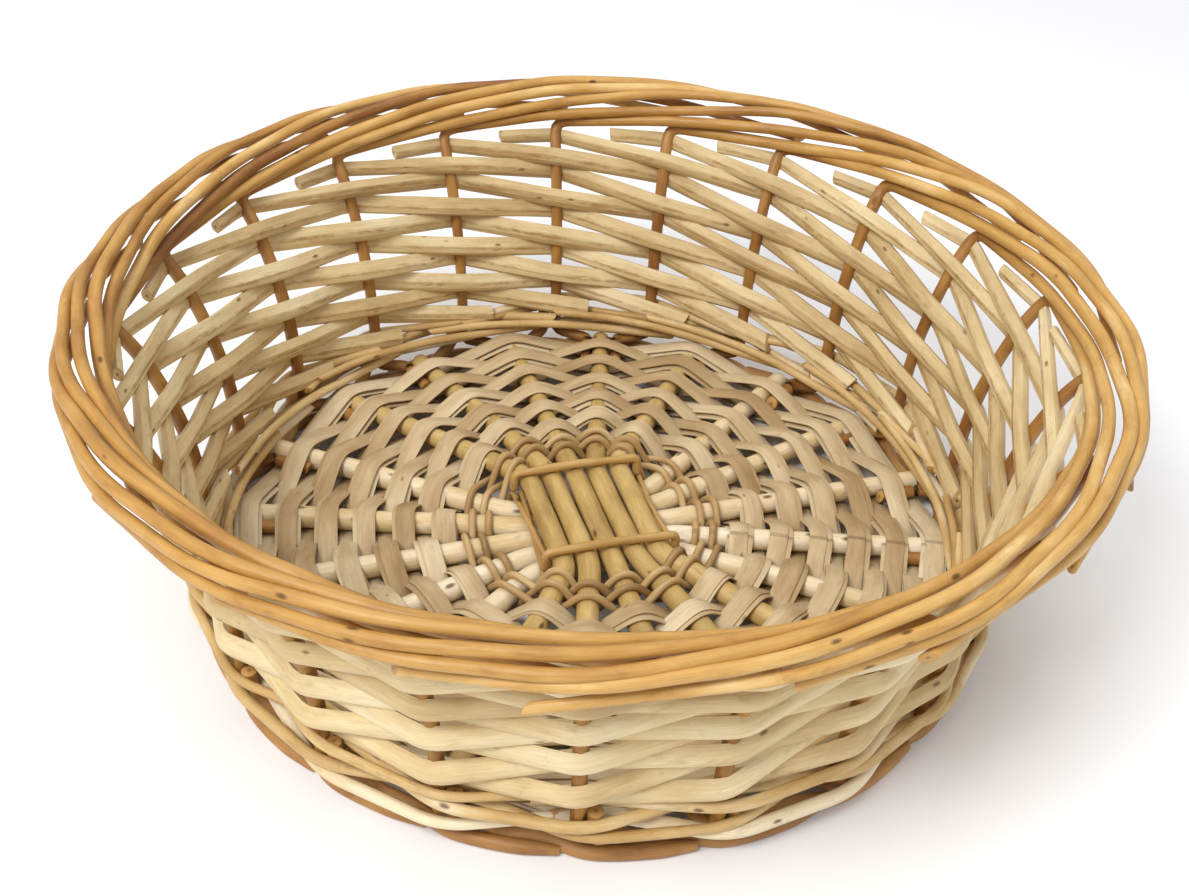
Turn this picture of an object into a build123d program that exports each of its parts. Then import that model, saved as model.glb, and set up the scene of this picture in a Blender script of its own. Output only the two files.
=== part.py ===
from build123d import *
import os
from math import atan2, cos, degrees, radians, sin

# Round willow basket, as a basket maker builds it. Millimetres.
# Frame: +Z up, origin on the ground at the middle of the foot, -Y to the front.

# ---- Driving dimensions ----
STAKES = 21  # side stakes, wall weavers and foot rods: one of each at every place
RIM_RADIUS = 186.5  # middle of the rolled border's section
RIM_HEIGHT = 118.5
ROLL_LONG = 10.2  # half axes of the oval that the border rods' centres lie on
ROLL_SHORT = 7.7
ROLL_LEAN = 50.0  # degrees by which the oval's long axis leans up from outwards
ROLL_START = 195.0  # degrees round the oval where a stake comes up into the border
ROLL_TURN = 290.0  # degrees round the oval that a border rod travels
ROLL_SPACES = 7  # stake spacings that a border rod covers

WALL_FOOT_RADIUS = 156.5  # the line of the stakes where the wall stands upright
WALL_FLARE_HEIGHT = 30.0  # the wall opens out above this, ever more steeply
WALL_FLARE = 0.0035  # millimetres outwards for each square millimetre up
STAKE_DIAMETER = 5.4
STAKE_BUTT_RADIUS = 128.0  # a stake's cut end, between the base sticks
STAKE_SPRING_RADIUS = 3.0  # bend where a stake leaves its base stick
STAKE_PRICK_RADIUS = 6.5  # bend where a stake turns up
STAKE_FLARE_RADIUS = 100.0  # gentle bends up the wall
STAKE_LAST_RADIUS = 20.0
STAKE_TURN_DOWN_RADIUS = 6.0  # bend where it turns over into the border
ROLL_BEND = 120.0  # how gently a border rod is bent round the rim

STICK_DIAMETER = 8.8
STICK_SPACING = 9.6
STICK_REACH = 147.0  # radius of a base stick's tips
STICK_COUNT = 5  # in each direction of the crossing
STICK_RIM_HEIGHT = 10.0
STICK_UNDER_HEIGHT = 10.0
STICK_OVER_HEIGHT = 19.0
STICK_BEND = 18.0  # bend where a stick is opened out
CROSSING_TURN = 18.0  # degrees by which the crossing is turned from front to back

TIE_DIAMETER = 3.6
TIE_BEND = 2.5
TIE_OVERHANG = 1.0  # how far a tie's turned-down ends stand clear of the outer sticks
PAIRING_DIAMETER = 3.6
PAIRING_RADII = (44.0, 48.5, 53.0)
SPLINT_WIDTH = 7.4
SPLINT_THICKNESS = 1.5
SPLINT_FIRST_RADIUS = 61.6
SPLINT_SPACING = 8.05
SPLINT_RINGS = 11
STRAND_BEND = 2.4  # bend of a base strand over the edge of a stick

WALE_DIAMETER = 4.4
WALE_RODS = 3
WALE_ROUNDS = 4  # the first rod goes round a second time
WALE_FIRST_HEIGHT = 11.8
WALE_RISE = 4.6
WALE_LOWEST_INSIDE = 15.6  # a wale rod passes over the stakes' flat part
WALE_HIGHEST_INSIDE = 20.0  # and under the weavers' butts
WALE_SLACK = 0.7  # room between a wale rod and the stakes it passes
WALE_BEND = 30.0

WEAVER_WIDTH = 8.6  # across the split face
WEAVER_THICKNESS = 4.4
WEAVER_FIRST_HEIGHT = 26.9
WEAVER_RISE = 8.9  # each weaver climbs its own width at every stake
WEAVER_PASSES = 10
WEAVER_EVEN_PASSES = 8  # above these it is packed down under the border
WEAVER_LAST_RISE = 4.5
WEAVER_BUTT = 0.3  # how far a weaver's cut ends stand past a stake, in stake spacings
WEAVER_TIP = 0.45
WEAVER_KINK = 12.0  # bend where a weaver passes outside a stake
WEAVER_BEND = 40.0  # bend where it passes inside
WEAVER_GUIDE_LIFT = 20.0  # height of the line that keeps its flat face upright

FOOT_DIAMETER = 5.2
FOOT_CENTRE_HEIGHT = 2.4  # less than the rods' radius, so each is flat where it stands
FOOT_TOP_HEIGHT = 24.0
FOOT_INNER_RADIUS = 150.9
FOOT_OUTER_RADIUS = 156.8
FOOT_ROD_ANGLE = 2.1  # degrees from a stake to the foot rod beside it
FOOT_TURN_HEIGHT = 10.5  # where a foot rod starts to bend sideways
FOOT_SHOULDER = (152.3, 0.27, 7.6)  # radius, stake spacings and height halfway down to the ring
FOOT_INNER_SPACES = (0.46, 0.80)  # its run inside the rod before it, in stake spacings
FOOT_OUTER_SPACES = (1.10, 1.80)  # its run outside the rod after it
FOOT_TIGHT_BEND = 5.0
FOOT_EASY_BEND = 15.0

CLEAR = 0.1  # gap left between pieces that touch

# ---- Worked-out sizes ----
STEP = 360 / STAKES
SPOKES = 4 * STICK_COUNT
SPOKE_STEP = 360 / SPOKES
CROSSING_HALF = STICK_COUNT * STICK_SPACING / 2
TIE_REACH = CROSSING_HALF + TIE_DIAMETER / 2 + CLEAR
KNEE = CROSSING_HALF + TIE_DIAMETER + 2  # where a base stick leaves the crossing
OVER_STICK_HALF = 2.6  # half of the flat run of a strand over a stick

os.makedirs("parts", exist_ok=True)


def at(radius, angle, height):
    """A point by its radius, its angle in degrees from +X seen from above, and its height."""
    return Vector(radius * cos(radians(angle)), radius * sin(radians(angle)), height)


def wall_radius(height):
    """Radius of the stakes' centres on the flared wall."""
    return WALL_FOOT_RADIUS + WALL_FLARE * max(height - WALL_FLARE_HEIGHT, 0) ** 2


def roll_point(turned, angle):
    """A point on the border's oval, turned degrees on from where a stake comes into it."""
    swung = radians(ROLL_START - turned)
    lean = radians(ROLL_LEAN)
    along = ROLL_LONG * cos(swung)
    across = ROLL_SHORT * sin(swung)
    radius = RIM_RADIUS + along * cos(lean) - across * sin(lean)
    height = RIM_HEIGHT + along * sin(lean) + across * cos(lean)
    return at(radius, angle, height)


def round_rod(points, bends, diameter):
    """A round rod bent along a route of straight runs joined by arcs."""
    with BuildPart() as rod:
        with BuildLine():
            route = FilletPolyline(*points, radius=bends)
        with BuildSketch(Plane(origin=route @ 0, z_dir=route % 0)):
            Circle(diameter / 2)
        sweep(path=route)
    return rod.part


def woven_ring(points, bend, section_width, section_height, corners=False):
    """A closed ring woven over and under, with a round or a flat section."""
    with BuildPart() as ring:
        with BuildLine():
            route = FilletPolyline(*points, radius=bend, close=True)
        outward = Vector((route @ 0).X, (route @ 0).Y, 0).normalized()
        with BuildSketch(Plane(origin=route @ 0, z_dir=route % 0, x_dir=outward)):
            if corners:
                Rectangle(section_width, section_height)
            else:
                Ellipse(section_width / 2, section_height / 2)
        sweep(path=route)
    return ring.part


def save(part, name):
    """Writes one named piece."""
    part.label = name
    export_step(part, f"parts/{name}.step")


# ---- Base sticks: two layers of parallel sticks, opened out into spokes beyond the tie ----
def base_stick(place, height, heading):
    """One base stick through the crossing, heading degrees from +X."""
    offset = (place - (STICK_COUNT - 1) / 2) * STICK_SPACING
    fan = (place - (STICK_COUNT - 1) / 2) * SPOKE_STEP
    tip = at(STICK_REACH, fan, STICK_RIM_HEIGHT)
    points = [
        Vector(-tip.X, tip.Y, STICK_RIM_HEIGHT),
        Vector(-KNEE, offset, height),
        Vector(KNEE, offset, height),
        tip,
    ]
    if abs(offset) < CLEAR and height == STICK_RIM_HEIGHT:
        points = [points[0], tip]
    with BuildPart() as stick:
        with BuildLine():
            if len(points) == 2:
                route = Line(*points)
            else:
                route = FilletPolyline(*points, radius=STICK_BEND)
        with BuildSketch(Plane(origin=route @ 0, z_dir=route % 0)):
            Circle(STICK_DIAMETER / 2)
        sweep(path=route)
    return stick.part.rotate(Axis.Z, heading)


for place in range(STICK_COUNT):
    over_stick = base_stick(place, STICK_OVER_HEIGHT, 90 + CROSSING_TURN)
    save(over_stick, f"base_stick_over_{place + 1}")
    under_stick = base_stick(place, STICK_UNDER_HEIGHT, CROSSING_TURN)
    save(under_stick, f"base_stick_under_{place + 1}")


# ---- Tying-in: a bar over each side of the crossing, its ends turned down ----
def tie_bar(stick_height, heading):
    """A thin bar laid across five parallel sticks just outside the crossing."""
    top = stick_height + (STICK_DIAMETER + TIE_DIAMETER) / 2 + CLEAR
    reach = CROSSING_HALF + TIE_DIAMETER / 2 + TIE_OVERHANG
    ends = [(-reach, stick_height), (-reach, top), (reach, top), (reach, stick_height)]
    points = [(TIE_REACH, across, height) for across, height in ends]
    bar = round_rod(points, TIE_BEND, TIE_DIAMETER)
    return bar.rotate(Axis.Z, heading)


ties = [
    tie_bar(STICK_OVER_HEIGHT, CROSSING_TURN + 90),
    tie_bar(STICK_OVER_HEIGHT, CROSSING_TURN + 270),
    tie_bar(STICK_UNDER_HEIGHT, CROSSING_TURN),
    tie_bar(STICK_UNDER_HEIGHT, CROSSING_TURN + 180),
]
save(Compound(children=ties), "slath_lashing")


# ---- Base weave: rings woven over and under the opened-out sticks ----
def spoke_place(spoke, radius):
    """Angle and height of an opened-out stick's middle, at a radius. Spokes count round from +X."""
    turned = (spoke * SPOKE_STEP - CROSSING_TURN + 45) % 180
    lower_layer = turned < 90
    fan = (turned % 90) - 45
    side = spoke * SPOKE_STEP - fan
    knee_height = STICK_UNDER_HEIGHT if lower_layer else STICK_OVER_HEIGHT
    knee = Vector(KNEE, fan / SPOKE_STEP * STICK_SPACING, knee_height)
    tip = at(STICK_REACH, fan, STICK_RIM_HEIGHT)
    low, high = 0.0, 1.0
    for _ in range(30):
        middle = (low + high) / 2
        spot = knee + (tip - knee) * middle
        if (spot.X**2 + spot.Y**2) ** 0.5 < radius:
            low = middle
        else:
            high = middle
    spot = knee + (tip - knee) * low
    return side + degrees(atan2(spot.Y, spot.X)), spot.Z


def base_ring_points(radius, first_over, strand_height):
    """Points of a ring that goes over one spoke and under the next, two at each spoke."""
    lift = (STICK_DIAMETER + strand_height) / 2 + CLEAR
    spread = degrees(OVER_STICK_HALF / radius)
    points = []
    for spoke in range(SPOKES):
        angle, height = spoke_place(spoke, radius)
        over = (spoke % 2 == 0) == first_over
        height = height + lift if over else height - lift
        points += [at(radius, angle - spread, height), at(radius, angle + spread, height)]
    return points


pairing = []
for ring, radius in enumerate(PAIRING_RADII):
    points = base_ring_points(radius, ring % 2 == 0, PAIRING_DIAMETER)
    pairing.append(woven_ring(points, STRAND_BEND, PAIRING_DIAMETER, PAIRING_DIAMETER))
save(Compound(children=pairing), "base_pairing")

for weaver in range(2):
    strips = []
    for ring in range(weaver, SPLINT_RINGS, 2):
        radius = SPLINT_FIRST_RADIUS + ring * SPLINT_SPACING
        points = base_ring_points(radius, weaver == 0, SPLINT_THICKNESS)
        strip = woven_ring(points, STRAND_BEND, SPLINT_WIDTH, SPLINT_THICKNESS, corners=True)
        strips.append(strip)
    save(Compound(children=strips), f"base_splint_{weaver + 1}")


def weaver_height(spaces):
    """Height of a weaver as it passes a stake, by stakes from its start."""
    even = min(spaces, WEAVER_EVEN_PASSES)
    return WEAVER_FIRST_HEIGHT + WEAVER_RISE * even + WEAVER_LAST_RISE * (spaces - even)


# ---- Side stakes: pushed in beside a base stick, turned up, then rolled down as the border ----
def side_stake(place):
    """One rod: butt in the base, the upright, and its long run round the border's oval."""
    angle = place * STEP - 90
    spoke = round(angle / SPOKE_STEP)
    beside = (STICK_DIAMETER + STAKE_DIAMETER) / 2 + CLEAR
    if angle < spoke * SPOKE_STEP:
        beside = -beside
    points = []
    for radius in (STAKE_BUTT_RADIUS, STICK_REACH + 1):
        spoke_angle, _ = spoke_place(spoke, min(radius, STICK_REACH))
        points.append(at(radius, spoke_angle + degrees(beside / radius), STICK_RIM_HEIGHT))
    points.append(at(wall_radius(STICK_RIM_HEIGHT), angle, STICK_RIM_HEIGHT))
    for spaces in range(1, WEAVER_PASSES):
        height = weaver_height(spaces)
        points.append(at(wall_radius(height), angle, height))
    for space in range(ROLL_SPACES + 1):
        points.append(roll_point(ROLL_TURN * space / ROLL_SPACES, angle - space * STEP))
    bends = [STAKE_SPRING_RADIUS, STAKE_PRICK_RADIUS] + [STAKE_FLARE_RADIUS] * (WEAVER_PASSES - 2)
    bends += [STAKE_LAST_RADIUS, STAKE_TURN_DOWN_RADIUS] + [ROLL_BEND] * (ROLL_SPACES - 1)
    return round_rod(points, bends, STAKE_DIAMETER)


for place in range(STAKES):
    save(side_stake(place), f"side_stake_{place + 1:02d}")


# ---- Upsett wale: each rod passes outside two stakes and inside the third ----
def wale_rod(number):
    """One closed round of the wale, counted from the lowest."""
    offset = (FOOT_DIAMETER + WALE_DIAMETER) / 2 + WALE_SLACK
    points = []
    for place in range(STAKES):
        angle = place * STEP - 90 + FOOT_ROD_ANGLE / 2
        height = WALE_FIRST_HEIGHT + number * WALE_RISE
        if (place + number) % WALE_RODS == 0:
            height = min(max(height + CLEAR, WALE_LOWEST_INSIDE), WALE_HIGHEST_INSIDE)
            points.append(at(wall_radius(height) - offset, angle, height))
        else:
            points.append(at(wall_radius(height) + offset, angle, height))
    return woven_ring(points, WALE_BEND, WALE_DIAMETER, WALE_DIAMETER)


for number in range(WALE_RODS):
    rounds = [wale_rod(turn) for turn in range(number, WALE_ROUNDS, WALE_RODS)]
    save(Compound(children=rounds), f"upsett_wale_{number + 1}")


# ---- Wall weavers: split rods, flat face inwards, inside one stake and outside the next ----
def weaver_point(spaces):
    """Middle of a weaver's flat face as it passes a stake, by stakes from its start."""
    height = weaver_height(spaces)
    flat_side = STAKE_DIAMETER / 2 + CLEAR
    if spaces % 2 == 0:
        return at(wall_radius(height) - flat_side - WEAVER_THICKNESS, spaces * STEP, height)
    return at(wall_radius(height) + flat_side, spaces * STEP, height)


def wall_weaver():
    """One split rod, climbing counter-clockwise from its butt inside the wale to the border."""
    passes = [weaver_point(spaces) for spaces in range(WEAVER_PASSES + 1)]
    butt = passes[0] + (passes[0] - passes[1]) * WEAVER_BUTT
    tip = passes[-2] + (passes[-1] - passes[-2]) * WEAVER_TIP
    points = [butt] + passes[1:-1] + [tip]
    bends = [WEAVER_KINK if spaces % 2 else WEAVER_BEND for spaces in range(1, WEAVER_PASSES)]
    above = [point + Vector(0, 0, WEAVER_GUIDE_LIFT) for point in points]
    with BuildPart() as weaver:
        with BuildLine():
            route = FilletPolyline(*points, radius=bends)
        with BuildLine():
            upright = FilletPolyline(*above, radius=bends)
        heading = route % 0
        outward = Vector(heading.Y, -heading.X, 0).normalized()
        with BuildSketch(Plane(origin=route @ 0, z_dir=heading, x_dir=outward)):
            Ellipse(WEAVER_THICKNESS, WEAVER_WIDTH / 2)
            with Locations((-WEAVER_THICKNESS, 0)):
                Rectangle(2 * WEAVER_THICKNESS, 2 * WEAVER_WIDTH, mode=Mode.SUBTRACT)
        sweep(path=route, binormal=upright)
    return weaver.part


weaver = wall_weaver()
for place in range(STAKES):
    save(weaver.rotate(Axis.Z, place * STEP - 90), f"wall_weaver_{place + 1:02d}")


# ---- Foot border: each rod comes down inside the one before it, then swings outside the next ----
def foot_rod():
    """One rod of the foot, pushed up beside a stake and flat underneath."""
    points = [
        at(wall_radius(FOOT_TOP_HEIGHT), FOOT_ROD_ANGLE, FOOT_TOP_HEIGHT),
        at(wall_radius(FOOT_TURN_HEIGHT), FOOT_ROD_ANGLE, FOOT_TURN_HEIGHT),
        at(FOOT_SHOULDER[0], FOOT_SHOULDER[1] * STEP, FOOT_SHOULDER[2]),
    ]
    points += [at(FOOT_INNER_RADIUS, share * STEP, FOOT_CENTRE_HEIGHT) for share in FOOT_INNER_SPACES]
    points += [at(FOOT_OUTER_RADIUS, share * STEP, FOOT_CENTRE_HEIGHT) for share in FOOT_OUTER_SPACES]
    bends = [FOOT_TIGHT_BEND] * 3 + [FOOT_EASY_BEND] * 2
    with BuildPart() as rod:
        with BuildLine():
            route = FilletPolyline(*points, radius=bends)
        with BuildSketch(Plane(origin=route @ 0, z_dir=route % 0)):
            Circle(FOOT_DIAMETER / 2)
        sweep(path=route)
        split(bisect_by=Plane.XY, keep=Keep.TOP)
    return rod.part


rod = foot_rod()
foot_rods = [rod.rotate(Axis.Z, place * STEP - 90) for place in range(STAKES)]
save(Compound(children=foot_rods), "foot_trac")
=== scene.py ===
from math import cos, pi, radians, sin, tan

import bpy
import numpy as np
from mathutils import Matrix, Vector


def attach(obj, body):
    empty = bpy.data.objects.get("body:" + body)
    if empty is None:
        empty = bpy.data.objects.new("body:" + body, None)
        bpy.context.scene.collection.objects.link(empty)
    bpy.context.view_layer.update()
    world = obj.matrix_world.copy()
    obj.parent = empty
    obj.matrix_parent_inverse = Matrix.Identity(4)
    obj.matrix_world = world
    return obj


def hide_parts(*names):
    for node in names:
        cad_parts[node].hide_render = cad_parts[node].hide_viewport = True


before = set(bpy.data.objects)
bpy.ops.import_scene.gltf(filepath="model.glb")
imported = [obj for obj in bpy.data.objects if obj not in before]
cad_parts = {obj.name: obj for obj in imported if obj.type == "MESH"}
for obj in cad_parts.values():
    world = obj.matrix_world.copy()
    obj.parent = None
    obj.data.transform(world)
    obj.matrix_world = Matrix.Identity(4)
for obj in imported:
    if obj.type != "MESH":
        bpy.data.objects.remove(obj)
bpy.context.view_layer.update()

# Round willow basket, in metres: +Z up, origin on the ground at the middle of the foot, -Y to the front.

# ---- Base sticks ----
# Ten willow sticks about 9 mm thick, boiled and peeled, five laid across five. Past the crossing they are bent
# apart into twenty spokes. A peeled stick is smooth and matt, with long faint fibres and small dark knots.
STICK = 0.0088
STICK_SPACING = 0.0096
STICK_REACH = 0.147
STICK_LOW = 0.010
STICK_HIGH = 0.019
SPOKES = 20
SPOKE_STEP = 360 / SPOKES
CROSSING_TURN = 18.0
KNEE = 0.0296
STICK_BEND = 0.014
STICK_SHADES = ("#8E7040", "#C0A162", "#D3B987", "#EADBBF")


def at(radius, angle, height):
    """Places by radius, angle in degrees from +X seen from above, and height."""
    turn = np.radians(angle)
    return np.stack(np.broadcast_arrays(radius * np.cos(turn), radius * np.sin(turn), height), -1)


FINE = 0.0004  # spacing of the places that are averaged
RUN = 0.0008  # spacing of the means


def eased(points, bend, step, closed=False):
    """A route with its corners eased. Each place is the mean of the route over one bend's length around it, so
    straight runs stay straight and a corner turns into an arc about one bend long. The places are evenly spaced."""
    points = np.asarray(points, float)
    bend = np.broadcast_to(bend, len(points)).astype(float)
    if closed:
        points = np.concatenate([points[-2:], points, points[:3]])
        bend = np.concatenate([bend[-2:], bend, bend[:3]])
        first, last = 2, len(points) - 3
    else:
        ends = [points[0] - points[1], points[-1] - points[-2]]
        ends = [end / np.linalg.norm(end) * bend.max() for end in ends]
        points = np.concatenate([[points[0] + ends[0]], points, [points[-1] + ends[1]]])
        bend = np.concatenate([bend[:1], bend, bend[-1:]])
        first, last = 1, len(points) - 2
    reach = np.concatenate([[0], np.cumsum(np.linalg.norm(np.diff(points, axis=0), axis=1))])
    fine = np.linspace(0, reach[-1], int(reach[-1] / FINE) + 2)
    spots = np.stack([np.interp(fine, reach, points[:, axis]) for axis in range(3)], 1)
    total = np.concatenate([np.zeros((1, 3)), np.cumsum((spots[1:] + spots[:-1]) / 2, 0) * fine[1]])
    run = np.linspace(reach[first], reach[last], int((reach[last] - reach[first]) / RUN) + 3)
    half = np.interp(run, reach, bend) / 2
    line = np.stack(
        [(np.interp(run + half, fine, total[:, axis]) - np.interp(run - half, fine, total[:, axis])) / (2 * half)
         for axis in range(3)], 1)
    length = np.concatenate([[0], np.cumsum(np.linalg.norm(np.diff(line, axis=0), axis=1))])
    count = max(int(round(length[-1] / step)), 3)
    even = np.linspace(0, length[-1], count + 1)
    line = np.stack([np.interp(even, length, line[:, axis]) for axis in range(3)], 1)
    return line[:-1] if closed else line


def outward(line):
    """The level direction away from the basket's middle at each place."""
    flat = line * (1, 1, 0)
    return flat / np.maximum(np.linalg.norm(flat, axis=1, keepdims=True), 1e-9)


def wander(chance, count, waves, closed=False):
    """A smooth random curve between about -1 and 1: the mean of four sine waves whose number of turns along the
    piece lies around the given one, each started anywhere. On a closed piece the turns are whole numbers."""
    place = np.linspace(0, 1, count, endpoint=not closed)[:, None]
    turns = waves * chance.uniform(0.4, 1.6, 4)
    if closed:
        turns = np.round(turns)
    return np.sin(2 * pi * (turns * place + chance.random(4))).mean(1) * 1.4


def round_section(diameter, corners):
    """A circle, by equal turns."""
    turn = np.arange(corners) / corners * 2 * pi
    return np.stack([np.cos(turn), np.sin(turn)], 1) * diameter / 2


CUT_REACH = 0.008  # how far back from a cut end its shear dies out
CUT_EDGE = 0.84  # the flat of the cut, as a share of the rod
CUT_ROUND = 0.0003


def carry(line, side, section, girth=1.0, tone=0.5, start=0.0, cuts=((0, 0), (0, 0)), closed=False):
    """A section carried along a line. At each place its first axis lies towards side and its second is square to
    both side and line, and it is scaled by the girth there. The ends are closed by a rounded edge and a flat cut,
    which is sheared along the rod by each cut's slope, towards each cut's direction in degrees."""
    count, corners = len(line), section.shape[-2]
    along = np.roll(line, -1, 0) - np.roll(line, 1, 0) if closed else np.gradient(line, axis=0)
    along /= np.linalg.norm(along, axis=1, keepdims=True)
    side = side - (side * along).sum(1, keepdims=True) * along
    side /= np.linalg.norm(side, axis=1, keepdims=True)
    up = np.cross(side, along)
    gaps = np.linalg.norm(np.diff(line, axis=0), axis=1)
    length = np.concatenate([[0], np.cumsum(gaps)])
    shape = np.broadcast_to(section, (count, corners, 2)) * np.broadcast_to(girth, count)[:, None, None]
    shift = np.zeros((count, corners))
    if not closed:
        for from_end, (slope, direction) in ((length, cuts[0]), (length[-1] - length, cuts[1])):
            lean = shape @ (cos(radians(direction)), sin(radians(direction)))
            shift += slope * np.clip(1 - from_end / CUT_REACH, 0, 1)[:, None] * lean
    rings = (line[:, None] + shape[..., :1] * side[:, None] + shape[..., 1:] * up[:, None]
             + shift[..., None] * along[:, None])
    grain = np.concatenate([np.broadcast_to(length[:, None, None], (count, corners, 1)) + start, shape], 2)
    tones = np.broadcast_to(np.broadcast_to(tone, count)[:, None], (count, corners))
    skins = np.ones((count, corners))
    row = np.arange(count if closed else count - 1)[:, None]
    place = np.arange(corners)[None, :]
    after_row, after = (row + 1) % count, (place + 1) % corners
    quads = np.stack([row * corners + place, after_row * corners + place,
                      after_row * corners + after, row * corners + after], -1).reshape(-1, 4)
    points = [rings.reshape(-1, 3)]
    grains, tone_list, skin_list = [grain.reshape(-1, 3)], [tones.reshape(-1)], [skins.reshape(-1)]
    faces = quads.tolist()
    if not closed:
        base = count * corners
        around = np.arange(corners)
        for ring, way in ((0, -1), (count - 1, 1)):
            middle = rings[ring].mean(0)
            edge = middle + (rings[ring] - middle) * CUT_EDGE + way * along[ring] * CUT_ROUND
            points += [edge, middle[None] + way * along[ring] * CUT_ROUND]
            grains += [grain[ring] * (1, CUT_EDGE, CUT_EDGE), grain[ring][:1] * (1, 0, 0)]
            tone_list += [tones[ring], tones[ring][:1]]
            skin_list += [np.full(corners, 0.6), np.zeros(1)]
            outer, inner, centre = ring * corners + around, base + around, base + corners
            following = np.roll(around, -1)
            band = np.stack([outer, outer[following], inner[following], inner], 1)
            fan = np.stack([inner, inner[following], np.full(corners, centre)], 1)
            faces += band[:, ::-way].tolist() + fan[:, ::-way].tolist()
            base += corners + 1
    return (np.concatenate(points), faces, np.concatenate(grains), np.concatenate(tone_list),
            np.concatenate(skin_list))


def put_piece(name, strands, material, node, sharp=50):
    """One piece made of its strands, riding on the root body in place of its CAD node."""
    points, faces, grains, tones, skins, base = [], [], [], [], [], 0
    for strand_points, strand_faces, grain, tone, skin in strands:
        points.append(strand_points)
        faces += [[corner + base for corner in face] for face in strand_faces]
        grains.append(grain)
        tones.append(tone)
        skins.append(skin)
        base += len(strand_points)
    mesh = bpy.data.meshes.new(name)
    mesh.from_pydata(np.concatenate(points).tolist(), [], faces)
    for label, kind, field, values in (("grain", "FLOAT_VECTOR", "vector", grains), ("tone", "FLOAT", "value", tones),
                                       ("skin", "FLOAT", "value", skins)):
        mesh.attributes.new(label, kind, "POINT").data.foreach_set(
            field, np.concatenate(values).astype(np.float32).ravel())
    mesh.polygons.foreach_set("use_smooth", np.ones(len(mesh.polygons), bool))
    mesh.set_sharp_from_angle(angle=radians(sharp))
    mesh.materials.append(material)
    mesh.update()
    piece = bpy.data.objects.new(name, mesh)
    bpy.context.scene.collection.objects.link(piece)
    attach(piece, "root")
    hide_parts(node)
    return piece


def linear(shade):
    """An sRGB hex colour as linear red, green, blue and alpha."""
    parts = [int(shade[place:place + 2], 16) / 255 for place in (1, 3, 5)]
    return [part / 12.92 if part <= 0.04045 else ((part + 0.055) / 1.055) ** 2.4 for part in parts] + [1]


def add(tree, kind, inputs=None, stops=None, **settings):
    """A new node: settings go on the node, inputs on its sockets, linked where they are sockets, and stops on its
    colour ramp."""
    node = tree.nodes.new(kind)
    for name, value in settings.items():
        setattr(node, name, value)
    for name, value in (inputs or {}).items():
        if isinstance(value, bpy.types.NodeSocket):
            tree.links.new(value, node.inputs[name])
        else:
            node.inputs[name].default_value = value
    if stops:
        ramp = node.color_ramp
        while len(ramp.elements) < len(stops):
            ramp.elements.new(0.5)
        for element, (place, shade) in zip(ramp.elements, stops):
            element.position = place
            element.color = linear(shade)
    return node


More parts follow.
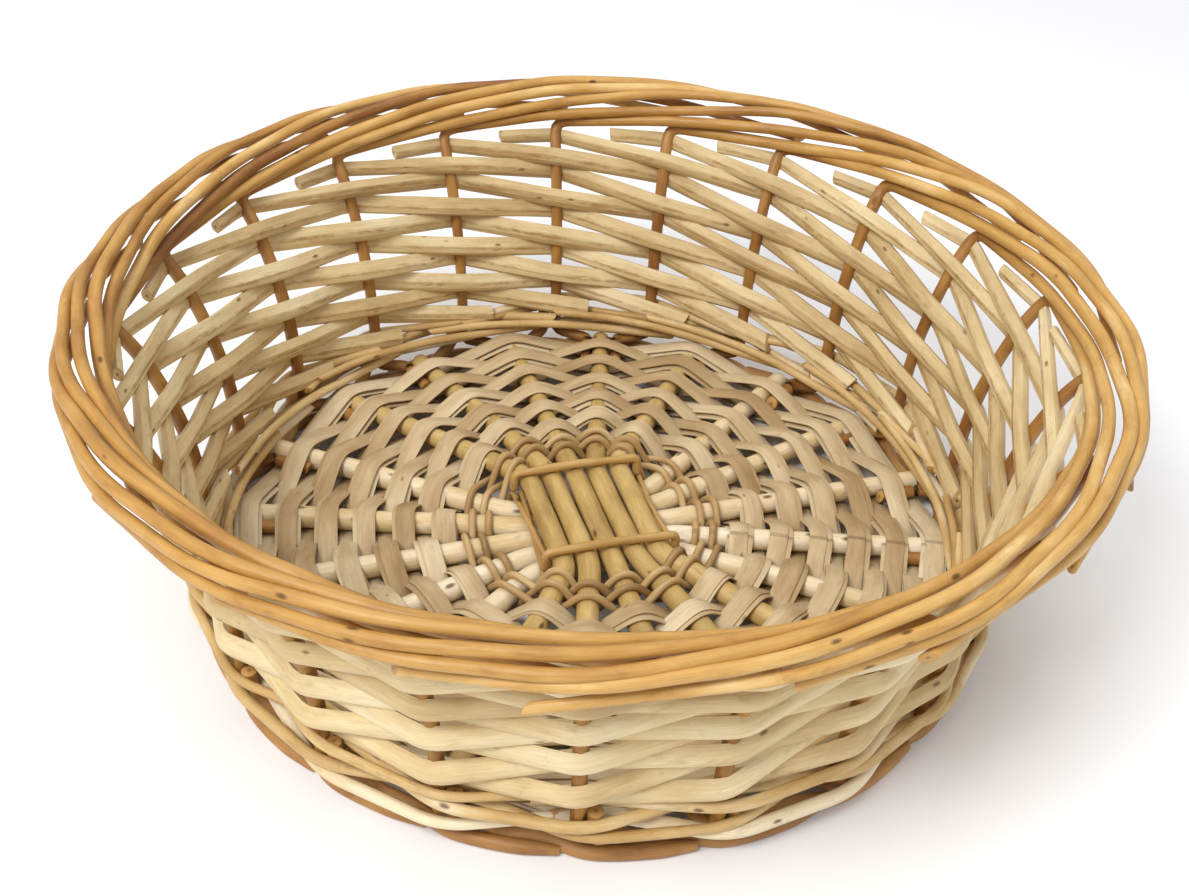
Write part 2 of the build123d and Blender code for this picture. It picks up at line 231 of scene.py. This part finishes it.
def willow(name, shades, rough=0.5, fibre=0.00016, knots=0.05, knot_shade="#5A3A1A", end_shade="#B98F52",
           split=False):
    """Willow wood, coloured along the rod. Shades run from the darkest rod to the palest. Fine fibres 0.5 mm wide
    and 14 mm long run along it, with clouds 25 mm long, soft stains, and dark knots about 1 mm across. A cut end
    shows end grain with a darker pith in the middle, and a split face shows its pith as a broken brown line."""
    material = bpy.data.materials.new(name)
    material.use_nodes = True
    tree = material.node_tree
    tree.nodes.clear()
    grain = add(tree, "ShaderNodeAttribute", attribute_name="grain").outputs["Vector"]
    tone = add(tree, "ShaderNodeAttribute", attribute_name="tone").outputs["Fac"]
    skin = add(tree, "ShaderNodeAttribute", attribute_name="skin").outputs["Fac"]
    long_clouds = add(tree, "ShaderNodeMapping", {"Vector": grain, "Scale": (1 / 0.025, 1 / 0.007, 1 / 0.007)})
    clouds = add(tree, "ShaderNodeTexNoise", {"Vector": long_clouds.outputs[0], "Scale": 1.0, "Detail": 3.0,
                                              "Roughness": 0.6}).outputs["Fac"]
    long_fibres = add(tree, "ShaderNodeMapping", {"Vector": grain, "Scale": (1 / 0.014, 1 / 0.0005, 1 / 0.0005)})
    fibres = add(tree, "ShaderNodeTexNoise", {"Vector": long_fibres.outputs[0], "Scale": 1.0, "Detail": 4.0,
                                              "Roughness": 0.65}).outputs["Fac"]
    spread = add(tree, "ShaderNodeMath", {0: clouds, 1: 0.5}, operation="SUBTRACT").outputs[0]
    shaded = add(tree, "ShaderNodeMath", {0: spread, 1: 0.85, 2: tone}, operation="MULTIPLY_ADD").outputs[0]
    places = (0.0, 0.36, 0.66, 1.0)
    colour = add(tree, "ShaderNodeValToRGB", {"Fac": shaded}, stops=list(zip(places, shades))).outputs["Color"]
    lightness = add(tree, "ShaderNodeMapRange", {"Value": fibres, "From Min": 0.3, "From Max": 0.7, "To Min": 0.86,
                                                 "To Max": 1.08}).outputs[0]
    colour = add(tree, "ShaderNodeHueSaturation", {"Color": colour, "Value": lightness}).outputs["Color"]
    stain_places = add(tree, "ShaderNodeMapping", {"Vector": grain, "Scale": (1 / 0.012, 1 / 0.005, 1 / 0.005)})
    stains = add(tree, "ShaderNodeTexNoise", {"Vector": stain_places.outputs[0], "Scale": 1.0, "Detail": 5.0,
                                              "Roughness": 0.7, "Distortion": 0.6}).outputs["Fac"]
    stained = add(tree, "ShaderNodeMapRange", {"Value": stains, "From Min": 0.56, "From Max": 0.76, "To Min": 0.0,
                                               "To Max": 0.5}).outputs[0]
    colour = add(tree, "ShaderNodeMix", {0: stained, 6: colour, 7: linear(shades[0])}, data_type="RGBA").outputs[2]
    knot_places = add(tree, "ShaderNodeMapping", {"Vector": grain, "Scale": (1 / 0.022, 1 / 0.009, 1 / 0.009)})
    knot_cells = add(tree, "ShaderNodeTexVoronoi", {"Vector": knot_places.outputs[0], "Scale": 1.0})
    knot = add(tree, "ShaderNodeMapRange", {"Value": knot_cells.outputs["Distance"], "From Min": knots,
                                            "From Max": knots * 2.2, "To Min": 0.85, "To Max": 0.0}).outputs[0]
    colour = add(tree, "ShaderNodeMix", {0: knot, 6: colour, 7: linear(knot_shade)}, data_type="RGBA").outputs[2]
    height = add(tree, "ShaderNodeMath", {0: fibres, 1: fibre, 2: 0.0}, operation="MULTIPLY_ADD").outputs[0]
    height = add(tree, "ShaderNodeMath", {0: clouds, 1: 0.0005, 2: height}, operation="MULTIPLY_ADD").outputs[0]
    height = add(tree, "ShaderNodeMath", {0: knot, 1: 0.0003, 2: height}, operation="MULTIPLY_ADD").outputs[0]
    if split:
        across = add(tree, "ShaderNodeSeparateXYZ", {"Vector": grain})
        along_pith = add(tree, "ShaderNodeMapping", {"Vector": grain, "Scale": (1 / 0.009, 1 / 0.02, 1 / 0.004)})
        waver = add(tree, "ShaderNodeTexNoise", {"Vector": along_pith.outputs[0], "Scale": 1.0, "Detail": 3.0})
        swing = add(tree, "ShaderNodeMath", {0: waver.outputs["Fac"], 1: 0.0022, 2: -0.0013},
                    operation="MULTIPLY_ADD").outputs[0]
        from_pith = add(tree, "ShaderNodeMath", {0: across.outputs["Z"], 1: swing}, operation="SUBTRACT").outputs[0]
        from_pith = add(tree, "ShaderNodeMath", {0: from_pith}, operation="ABSOLUTE").outputs[0]
        on_line = add(tree, "ShaderNodeMapRange", {"Value": from_pith, "From Min": 0.0003, "From Max": 0.0013,
                                                   "To Min": 1.0, "To Max": 0.0}).outputs[0]
        inner_face = add(tree, "ShaderNodeMapRange", {"Value": across.outputs["Y"], "From Min": -0.0004,
                                                      "From Max": -0.0001, "To Min": 1.0, "To Max": 0.0}).outputs[0]
        broken = add(tree, "ShaderNodeMapRange", {"Value": stains, "From Min": 0.42, "From Max": 0.6,
                                                  "To Min": 0.05, "To Max": 0.75}).outputs[0]
        pith = add(tree, "ShaderNodeMath", {0: on_line, 1: inner_face}, operation="MULTIPLY").outputs[0]
        pith = add(tree, "ShaderNodeMath", {0: pith, 1: broken}, operation="MULTIPLY").outputs[0]
        colour = add(tree, "ShaderNodeMix", {0: pith, 6: colour, 7: linear("#A9814C")}, data_type="RGBA").outputs[2]
        height = add(tree, "ShaderNodeMath", {0: pith, 1: -0.0003, 2: height}, operation="MULTIPLY_ADD").outputs[0]
    end_grain = add(tree, "ShaderNodeMapRange", {"Value": skin, "From Min": 0.7, "From Max": 0.95, "To Min": 1.0,
                                                 "To Max": 0.0}).outputs[0]
    cut = add(tree, "ShaderNodeValToRGB", {"Fac": skin}, stops=[(0.1, "#8A6334"), (0.22, end_shade)]).outputs["Color"]
    colour = add(tree, "ShaderNodeMix", {0: end_grain, 6: colour, 7: cut}, data_type="RGBA").outputs[2]
    gloss = add(tree, "ShaderNodeMapRange", {"Value": stains, "From Min": 0.3, "From Max": 0.7, "To Min": rough - 0.07,
                                             "To Max": rough + 0.1}).outputs[0]
    bump = add(tree, "ShaderNodeBump", {"Height": height, "Distance": 1.0, "Strength": 0.9}).outputs["Normal"]
    shader = add(tree, "ShaderNodeBsdfPrincipled", {"Base Color": colour, "Roughness": gloss, "Normal": bump,
                                                    "IOR": 1.5, "Specular IOR Level": 0.4})
    add(tree, "ShaderNodeOutputMaterial", {"Surface": shader.outputs[0]})
    return material


def stick_line(place, height, heading):
    """A stick's middle line: level through the crossing, then bent down and sideways to its tip at each end."""
    offset, fan = (place - 2) * STICK_SPACING, (place - 2) * SPOKE_STEP
    tip = at(STICK_REACH, fan, STICK_LOW)
    route = np.array([tip * (-1, 1, 1), (-KNEE, offset, height), (KNEE, offset, height), tip])
    turn = radians(heading)
    route = np.stack([route[:, 0] * cos(turn) - route[:, 1] * sin(turn),
                      route[:, 0] * sin(turn) + route[:, 1] * cos(turn), route[:, 2]], 1)
    return eased(route, STICK_BEND, 0.003)


peeled_stick = willow("peeled boiled willow stick", STICK_SHADES, rough=0.5, fibre=0.0001, knots=0.06)
chance = np.random.default_rng(11)
for place in range(5):
    for layer, height, heading, tone in (("over", STICK_HIGH, 90 + CROSSING_TURN, 0.36),
                                         ("under", STICK_LOW, CROSSING_TURN, 0.8)):
        line = stick_line(place, height, heading)
        girth = np.linspace(1.05, 0.95, len(line)) * (1 + 0.035 * wander(chance, len(line), 6))
        line[:, :2] += 0.0004 * wander(chance, len(line), 3)[:, None]
        stick = carry(line, np.broadcast_to((0, 0, 1), line.shape), round_section(STICK, 16), girth,
                      tone + chance.uniform(-0.1, 0.14), chance.uniform(0, 9))
        name = f"base_stick_{layer}_{place + 1}"
        put_piece("willow_" + name, [stick], peeled_stick, name)


# ---- Tying-in ----
# Thin buff rods hold the crossing: a round one lies over the five upper sticks at the front and at the back, and a
# flattened pair is drawn over the lower sticks at the left and right. Their ends are tucked down beside the sticks.
TIE = 0.0036
TIE_OUT = 0.0259
TIE_HALF = 0.0268
TIE_TOP = 0.0253
STRIP_TOP = 0.0163
BUFF_SHADES = ("#86602F", "#B38C50", "#C9A56A", "#E2C997")

buff_rod = willow("buff willow rod", BUFF_SHADES, rough=0.42, fibre=0.00012, knots=0.05)
chance = np.random.default_rng(23)
lashing = []
for heading, top, flat in ((108, TIE_TOP, False), (288, TIE_TOP, False), (18, STRIP_TOP, True),
                           (198, STRIP_TOP, True)):
    for strand in range(2 if flat else 1):
        skew = (0.0013, -0.0013)[strand] if flat else 0.0004
        low = STICK_HIGH - 0.002 if not flat else STICK_LOW
        ends = [(TIE_OUT - 2 * skew, -TIE_HALF, low), (TIE_OUT - 1.5 * skew, -TIE_HALF, top - 0.0004),
                (TIE_OUT, 0, top + 0.0006 + 0.0007 * strand), (TIE_OUT + 1.5 * skew, TIE_HALF, top - 0.0004),
                (TIE_OUT + 2 * skew, TIE_HALF, low)]
        turn = radians(heading)
        route = [(x * cos(turn) - y * sin(turn), x * sin(turn) + y * cos(turn), z) for x, y, z in ends]
        line = eased(route, 0.005, 0.0012)
        away = np.broadcast_to((cos(turn), sin(turn), 0), line.shape)
        section = round_section(TIE, 12) * ((0.62, 0.42) if flat else (1, 1))
        lashing.append(carry(line, away, section, 1 + 0.06 * wander(chance, len(line), 3),
                             chance.uniform(0.25, 0.55), chance.uniform(0, 9)))
put_piece("willow_slath_lashing", lashing, buff_rod, "slath_lashing")


# ---- Pairing ----
# Thin round rods woven over one spoke and under the next, close round the crossing, which hold the spokes apart.
# They are willow scraped thin, so they are duller and greyer than the tie.
PAIRING = 0.0030
PAIRING_RADII = (0.0430, 0.0464, 0.0498, 0.0532)
ON_SPOKE = 0.0026


def spoke_place(spoke, radius):
    """A spoke's angle and height at a radius, along the straight line from its knee to its tip."""
    turned = (spoke * SPOKE_STEP - CROSSING_TURN + 45) % 180
    fan = turned % 90 - 45
    knee = np.array([KNEE, fan / SPOKE_STEP * STICK_SPACING, STICK_LOW if turned < 90 else STICK_HIGH])
    tip = at(STICK_REACH, fan, STICK_LOW)
    shares = np.linspace(0, 1, 400)
    spots = knee + (tip - knee) * shares[:, None]
    spot = spots[np.argmin(np.abs(np.hypot(spots[:, 0], spots[:, 1]) - radius))]
    return spoke * SPOKE_STEP - fan + np.degrees(np.arctan2(spot[1], spot[0])), spot[2]


def base_ring(radius, first_over, thickness, bend, chance, slack=0.0, loose=0.0):
    """A ring over one spoke and under the next, flat for a moment on each, and straight in between."""
    lift = (STICK + thickness) / 2 + 0.0001
    route = []
    for spoke in range(SPOKES):
        angle, height = spoke_place(spoke, radius)
        over = (spoke % 2 == 0) == first_over
        height += lift + chance.uniform(0, slack) if over else -lift
        spread = np.degrees(ON_SPOKE / radius)
        away = radius + chance.uniform(-loose, loose)
        route += [at(away, angle - spread, height), at(away, angle + spread, height)]
    return eased(route, bend, 0.0016, closed=True)


tan_rod = willow("scraped willow rod", ("#84643A", "#AD8C5A", "#C5A877", "#DBC59C"), rough=0.5, fibre=0.00012,
                 knots=0.05)
chance = np.random.default_rng(31)
pairing = []
for ring, radius in enumerate(PAIRING_RADII):
    line = base_ring(radius, ring % 2 == 0, PAIRING, 0.0075, chance, 0.0002, 0.0003)
    pairing.append(carry(line, outward(line), round_section(PAIRING, 10), 1 + 0.08 * wander(chance, len(line), 9, True),
                         0.42 + 0.25 * wander(chance, len(line), 4, True), chance.uniform(0, 9), closed=True))
put_piece("willow_base_pairing", pairing, tan_rod, "base_pairing")


# ---- Base splints ----
# Flat strips planed from split willow, about 8 mm wide and under 1 mm thick, woven in rings over and under the
# spokes, two or three layers to a ring. The planed face is pale, dull and straight-grained, with sharp edges.
SPLINT_FIRST = 0.0612
SPLINT_SPACING = 0.00805
SPLINT_RINGS = 11
SPLINT_WIDTH = 0.0076
SPLINT_THICKNESS = 0.0007
SPLINT_BEND = 0.0085
SPLINT_LAYERS = ((-0.0004, 0.0), (0.0015, 0.0010), (-0.0016, 0.0020))
SPLINT_SHADES = ("#8F7048", "#AF936A", "#C4AE88", "#D9C8A6")

flat_splint = willow("planed willow splint", SPLINT_SHADES, rough=0.62, fibre=0.00012, knots=0.035,
                     knot_shade="#8A6A44", end_shade="#B99A6A")
half_width, half_thick = SPLINT_WIDTH / 2, SPLINT_THICKNESS / 2
splint_section = np.array([(half_width, -half_thick * 0.6), (half_width, half_thick * 0.6),
                           (half_width * 0.94, half_thick), (0, half_thick * 1.15), (-half_width * 0.94, half_thick),
                           (-half_width, half_thick * 0.6), (-half_width, -half_thick * 0.6),
                           (-half_width * 0.94, -half_thick), (0, -half_thick * 0.85),
                           (half_width * 0.94, -half_thick)])
chance = np.random.default_rng(47)
for weaver in range(2):
    strips = []
    for row in range(weaver, SPLINT_RINGS, 2):
        radius = SPLINT_FIRST + row * SPLINT_SPACING
        ring = base_ring(radius, weaver == 0, 0.0016, SPLINT_BEND, chance, 0.0012, 0.0005)
        ring_tone = chance.uniform(0.4, 0.7)
        for layer, (out, drop) in enumerate(SPLINT_LAYERS):
            if layer == 2 and chance.random() < 0.4:
                continue
            line = ring + outward(ring) * (out + 0.0006 * wander(chance, len(ring), 7, True))[:, None]
            line[:, 2] -= drop - 0.0002 * wander(chance, len(ring), 9, True)
            girth = 1 + 0.07 * wander(chance, len(ring), 6, True)
            tone = ring_tone + chance.uniform(-0.1, 0.1) + 0.2 * wander(chance, len(ring), 5, True)
            strips.append(carry(line, outward(line), splint_section, girth, tone, chance.uniform(0, 9), closed=True))
    put_piece(f"willow_base_splint_{weaver + 1}", strips, flat_splint, f"base_splint_{weaver + 1}",
              sharp=35)


# ---- Side stakes and border ----
# One buff willow rod each: pushed into the base beside a spoke, turned up the wall, and rolled down over its
# neighbours as the border. The skin is smooth and golden, a little glossy, with small knots. The butt and the
# upright part are coloured darker. This is partly the butt's own browner skin and partly painted shade, for the
# wall lies in less light than the border.
STAKES = 21
STEP = 360 / STAKES
STAKE = 0.0054
WALL_FOOT = 0.1565
FLARE_START = 0.030
FLARE = 3.5
RIM_RADIUS = 0.1865
RIM_HEIGHT = 0.1185
ROLL_LONG = 0.0102
ROLL_SHORT = 0.0077
ROLL_LEAN = 50.0
ROLL_START = 195.0
ROLL_TURN = 290.0
ROLL_SPACES = 7
STAKE_LEVEL = 0.010  # height of a stake's level part
STAKE_BUTT = 0.128
STAKE_HEIGHTS = (STAKE_LEVEL, 0.035, 0.060, 0.080, 0.098)
BESIDE_SPOKE = 0.0072
REDDISH_ROD = 16


def wall_radius(height):
    """The stakes' radius at a height: upright at first, then outwards by the flare times the square of the height
    above the place where it starts."""
    return WALL_FOOT + FLARE * np.maximum(height - FLARE_START, 0) ** 2


def roll_point(turned, angle, wide=1.0):
    """A place on the border's leaning oval, some degrees of turn on from where a stake comes up into it."""
    swung, lean = radians(ROLL_START - turned), radians(ROLL_LEAN)
    along, across = wide * ROLL_LONG * cos(swung), wide * ROLL_SHORT * sin(swung)
    return at(RIM_RADIUS + along * cos(lean) - across * sin(lean), angle,
              RIM_HEIGHT + along * sin(lean) + across * cos(lean))


golden_rod = willow("buff willow border rod", ("#875626", "#B58643", "#CCA05A", "#E6C78C"), rough=0.42, fibre=0.0001,
                    knots=0.05)
chance = np.random.default_rng(5)
for place in range(STAKES):
    angle = place * STEP - 90
    spoke = round(angle / SPOKE_STEP)
    beside = BESIDE_SPOKE if angle >= spoke * SPOKE_STEP else -BESIDE_SPOKE
    route, bend = [], [0.004, 0.004, 0.009] + [0.018] * 4 + [0.012] + [0.036] * ROLL_SPACES
    for radius in (STAKE_BUTT, STICK_REACH + 0.001):
        spoke_angle, _ = spoke_place(spoke, min(radius, STICK_REACH))
        route.append(at(radius, spoke_angle + np.degrees(beside / radius), STAKE_LEVEL))
    for height in STAKE_HEIGHTS:
        route.append(at(wall_radius(height), angle, height))
    for space in range(ROLL_SPACES + 1):
        turned = ROLL_TURN * space / ROLL_SPACES
        free = min(space, 1)
        wide = 1 + free * chance.uniform(-0.10, 0.06)
        route.append(roll_point(turned + free * chance.uniform(-13, 13), angle - space * STEP, wide))
    end = route[-1] - route[-2]
    route[-1] = route[-1] + end * chance.uniform(-0.12, 0.28)
    line = eased(route, bend, 0.0025)
    share = np.linspace(0, 1, len(line))
    girth = chance.uniform(0.9, 1.06) * np.interp(share, (0, 0.35, 0.5, 1), (1.04, 1.0, 0.92, 0.76))
    girth = girth * (1 + 0.03 * wander(chance, len(line), 12))
    own = chance.uniform(0.3, 0.72) if place != REDDISH_ROD else 0.1
    # Painted shade, partly real: the tone stays low along the butt and up the wall and then rises to the rod's own tone
    # in the border. This is partly the butt's browner skin and partly shade painted onto the upright part.
    tone = np.interp(share, (0, 0.26, 0.36, 1), (0.14, 0.2, own, own)) + 0.1 * wander(chance, len(line), 8)
    rod = carry(line, outward(line), round_section(STAKE, 14), girth, tone, chance.uniform(0, 9),
                ((0.4, 90), (chance.uniform(0.6, 1.4), chance.uniform(0, 360))))
    name = f"side_stake_{place + 1:02d}"
    put_piece("willow_" + name, [rod], golden_rod, name)


# ---- Upsett wale ----
# Buff rods over 4 mm thick, woven round the foot of the wall, in front of two stakes and behind the third, to set
# the stakes upright. Each of the four rounds is three rods, and their tails lie inside, above the edge of the base.
WALE = 0.0047
WALE_ROUNDS = 4
WALE_FIRST = 0.0120
WALE_RISE = 0.0047
WALE_LOWEST_INSIDE = 0.0154
WALE_HIGHEST_INSIDE = 0.0235
WALE_OUT = 0.0056
BESIDE_FOOT_ROD = 1.05
WALE_TAILS = 15
WALE_TAIL_ROUTE = ((0.1520, 0, 0), (0.1478, 0.5, 0.0010), (0.1468, 1.3, 0.0045), (0.1472, 2.1, 0.0080),
                   (0.1480, 2.7, 0.0095))

wale_rod = willow("buff willow wale rod", ("#86622F", "#B8935A", "#CFB078", "#EADAB8"), rough=0.48, fibre=0.00012,
                  knots=0.05)
chance = np.random.default_rng(61)
rods = {0: [], 1: [], 2: []}
for number in range(WALE_ROUNDS):
    for rod in range(3):
        first, spaces = rod * 7 + number * 2, 8
        route = []
        for stake in range(first, first + spaces + 1):
            angle = stake * STEP - 90 + BESIDE_FOOT_ROD
            height = WALE_FIRST + number * WALE_RISE
            inside = (stake + number) % 3 == 0
            if inside:
                height = min(max(height + 0.0008, WALE_LOWEST_INSIDE), WALE_HIGHEST_INSIDE)
            height += chance.uniform(-0.0005, 0.0005)
            out = -WALE_OUT if inside else WALE_OUT
            if stake in (first, first + spaces):
                out = -WALE_OUT - 0.002
                height = min(max(height, WALE_LOWEST_INSIDE) + 0.003 * (stake != first), WALE_HIGHEST_INSIDE)
            route.append(at(wall_radius(height) + out, angle, height))
        line = eased(route, 0.02, 0.0025)
        share = np.linspace(0, 1, len(line))
        girth = (1.06, 0.94, 0.94, 0.9)[number] * (1.08 - 0.3 * share) * (1 + 0.04 * wander(chance, len(line), 9))
        own = (0.92, 0.6, 0.5, 0.65)[number] + chance.uniform(-0.12, 0.12)
        rods[number % 3].append(carry(line, outward(line), round_section(WALE, 12), girth,
                          own + 0.12 * wander(chance, len(line), 5), chance.uniform(0, 9),
                          ((1.0, chance.uniform(0, 360)), (0.8, chance.uniform(0, 360)))))
for tail in range(WALE_TAILS):
    angle = tail * 360 / WALE_TAILS - 90 + chance.uniform(-5, 5)
    start = chance.uniform(0.0135, 0.0165)
    route = [at(radius + chance.uniform(-0.0008, 0.0008), angle + spaces * STEP, start + rise)
             for radius, spaces, rise in WALE_TAIL_ROUTE]
    line = eased(route, 0.03, 0.0025)
    share = np.linspace(0, 1, len(line))
    rods[tail % 3].append(carry(line, outward(line), round_section(WALE, 12), 0.96 - 0.3 * share,
                                chance.uniform(0.4, 0.7) + 0.12 * wander(chance, len(line), 3), chance.uniform(0, 9),
                                ((0.8, chance.uniform(0, 360)), (1.0, chance.uniform(0, 360)))))
for number in rods:
    name = f"upsett_wale_{number + 1}"
    put_piece("willow_" + name, rods[number], wale_rod, name)


# ---- Wall weavers ----
# Thick white willow rods split in half, one started behind each stake and woven up the wall in step, inside one
# stake and outside the next. Outside shows the smooth peeled skin. Inside shows the split face: three planed
# facets, the middle one with the brown pith.
WEAVER_FIRST = 0.0269
WEAVER_RISE = 0.0089
WEAVER_PASSES = 10
WEAVER_EVEN_PASSES = 8
WEAVER_LAST_RISE = 0.0055
WEAVER_OUT = 0.0046

white_willow = willow("split white willow rod", ("#A08050", "#C9AE7C", "#DCC594", "#EEDDB4"), rough=0.52,
                      fibre=0.00022, knots=0.045, knot_shade="#7A5A34", end_shade="#CDB07C", split=True)
dome = np.radians(np.linspace(-78, 78, 9))
skin_side = np.stack([-0.0008 + 0.0040 * np.cos(dome), 0.0045 * np.sin(dome)], 1)
split_side = np.array([(-0.0004, 0.0046), (-0.0026, 0.0017), (-0.0029, 0.0012), (-0.0029, -0.0017),
                       (-0.0026, -0.0022), (-0.0006, -0.0046)])
chance = np.random.default_rng(83)
for place in range(STAKES):
    route, bend = [], []
    for spaces in range(WEAVER_PASSES + 1):
        even = min(spaces, WEAVER_EVEN_PASSES)
        height = WEAVER_FIRST + WEAVER_RISE * even + WEAVER_LAST_RISE * (spaces - even)
        stray = chance.uniform(-0.0006, 0.0006)
        inside = spaces % 2 == 0
        out = -WEAVER_OUT if inside else WEAVER_OUT
        route.append(at(wall_radius(height) + out, place * STEP - 90 + spaces * STEP, height + stray))
        bend.append(0.020 if inside else 0.009)
    route[0] = route[0] + (route[0] - route[1]) * chance.uniform(0.22, 0.4)
    route[-1] = route[-2] + (route[-1] - route[-2]) * chance.uniform(0.4, 0.6)
    line = eased(route, bend, 0.0025)
    away = outward(line)
    share = np.linspace(0, 1, len(line))
    twist = np.radians(5) * wander(chance, len(line), 5)
    away = away * np.cos(twist)[:, None] + np.array([(0, 0, 1)]) * np.sin(twist)[:, None]
    facets = split_side.copy()
    ridge = chance.uniform(-0.0012, 0.0010)
    facets[1:5, 1] += ridge
    depth = chance.uniform(0.75, 1.1)
    section = np.concatenate([skin_side, facets * (depth, 1)])
    girth = chance.uniform(0.97, 1.04) * np.interp(share, (0, 0.76, 1), (1.03, 1.0, 0.72))
    girth = girth * (1 + 0.03 * wander(chance, len(line), 9))
    tone = chance.uniform(0.4, 0.8) + 0.14 * wander(chance, len(line), 6)
    rod = carry(line, away, section, girth, tone, chance.uniform(0, 9),
                ((chance.uniform(-0.3, 0.5), 90), (0.2, 90)))
    name = f"wall_weaver_{place + 1:02d}"
    put_piece("willow_" + name, [rod], white_willow, name, sharp=28)


# ---- Foot border ----
# Brown willow rods pushed up beside the stakes and laid down as a low ring that the basket stands on. Each comes
# down inside the rod before it, then runs outside the one after it, so two always lie side by side.
FOOT = 0.0054
FOOT_HEIGHT = 0.0024
FOOT_TOP = 0.024
FOOT_TURN = 0.0105
BESIDE_STAKE = 2.1
FOOT_RUNS = ((0.1509, 0.46), (0.1509, 0.79), (0.1565, 1.04), (0.1566, 1.45), (0.1560, 1.88))
FOOT_BENDS = (0.006, 0.006, 0.006, 0.008, 0.014, 0.014, 0.02, 0.014)

foot_rod = willow("brown willow foot rod", ("#7A5229", "#A67640", "#BB8C50", "#D2AC74"), rough=0.46, fibre=0.00014,
                  knots=0.06)
chance = np.random.default_rng(97)
rods = []
for place in range(STAKES):
    angle = place * STEP - 90
    route = [at(wall_radius(FOOT_TOP), angle + BESIDE_STAKE, FOOT_TOP),
             at(wall_radius(FOOT_TURN), angle + BESIDE_STAKE, FOOT_TURN),
             at(0.1523, angle + 0.27 * STEP, 0.0076)]
    for radius, share in FOOT_RUNS:
        route.append(at(radius + chance.uniform(-0.0003, 0.0003), angle + share * STEP, FOOT_HEIGHT))
    line = eased(route, FOOT_BENDS, 0.0020)
    share = np.linspace(0, 1, len(line))
    girth = chance.uniform(0.98, 1.06) * np.interp(share, (0, 0.88, 1), (1.04, 0.98, 0.66))
    girth = girth * (1 + 0.02 * wander(chance, len(line), 3))
    rod = carry(line, outward(line), round_section(FOOT, 14), girth,
                chance.uniform(0.3, 0.65) + 0.1 * wander(chance, len(line), 3), chance.uniform(0, 9),
                ((0, 0), (0.5, 180)))
    rod[0][:, 2] = np.maximum(rod[0][:, 2], 0)
    rods.append(rod)
put_piece("willow_foot_trac", rods, foot_rod, "foot_trac")


# ---- Studio ----
# A plain white floor, a soft light to the front left, a weak one to the right, one overhead behind, and an even
# white sky.
FLOOR_HALF = 4.0
mesh = bpy.data.meshes.new("floor")
mesh.from_pydata([(-FLOOR_HALF, -FLOOR_HALF, 0), (FLOOR_HALF, -FLOOR_HALF, 0), (FLOOR_HALF, FLOOR_HALF, 0),
                  (-FLOOR_HALF, FLOOR_HALF, 0)], [], [(0, 1, 2, 3)])
paper = bpy.data.materials.new("white paper sweep")
paper.use_nodes = True
paper_shader = paper.node_tree.nodes["Principled BSDF"]
paper_shader.inputs["Base Color"].default_value = linear("#F2F2F4")
paper_shader.inputs["Roughness"].default_value = 0.9
mesh.materials.append(paper)
floor = bpy.data.objects.new("floor", mesh)
bpy.context.scene.collection.objects.link(floor)

for name, place, size, power in (("key", (-0.7, -0.9, 1.5), 0.7, 25), ("fill", (1.3, -0.7, 1.1), 1.4, 2),
                                 ("top", (0.1, 0.5, 1.7), 1.2, 7)):
    lamp = bpy.data.lights.new(name, "AREA")
    lamp.shape = "SQUARE"
    lamp.size = size
    lamp.energy = power
    light = bpy.data.objects.new(name, lamp)
    light.location = place
    light.rotation_euler = (Vector((0, 0, 0.06)) - Vector(place)).to_track_quat("-Z", "Y").to_euler()
    bpy.context.scene.collection.objects.link(light)

world = bpy.data.worlds.new("white sky")
world.use_nodes = True
world.node_tree.nodes["Background"].inputs["Color"].default_value = linear("#FFFFFF")
world.node_tree.nodes["Background"].inputs["Strength"].default_value = 0.62
bpy.context.scene.world = world
bpy.context.scene.view_settings.view_transform = "Standard"

CAMERA_REACH = 0.53494
CAMERA_RISE = 0.5204
CAMERA_AIM = 0.1375
CAMERA_PAN = -0.0010
CAMERA_TILT = -0.1260
CAMERA_ROLL = 0.0486
CAMERA_LENS = 44.31
back = Vector((0, -cos(CAMERA_RISE), sin(CAMERA_RISE)))
level = Vector((1, 0, 0))
forward = (-back + tan(CAMERA_PAN) * level + tan(CAMERA_TILT) * level.cross(-back)).normalized()
right = forward.cross(Vector((0, 0, 1))).normalized()
above = right.cross(forward)
camera_right = cos(CAMERA_ROLL) * right + sin(CAMERA_ROLL) * above
camera_up = -sin(CAMERA_ROLL) * right + cos(CAMERA_ROLL) * above
camera = bpy.data.objects.new("camera", bpy.data.cameras.new("camera"))
camera.data.lens = CAMERA_LENS
camera.data.sensor_width = 36
camera.data.clip_start = 0.02
turned = Matrix((camera_right, camera_up, -forward)).transposed().to_4x4()
camera.matrix_world = Matrix.Translation(back * CAMERA_REACH + Vector((0, 0, CAMERA_AIM))) @ turned
bpy.context.scene.collection.objects.link(camera)
bpy.context.scene.camera = camera
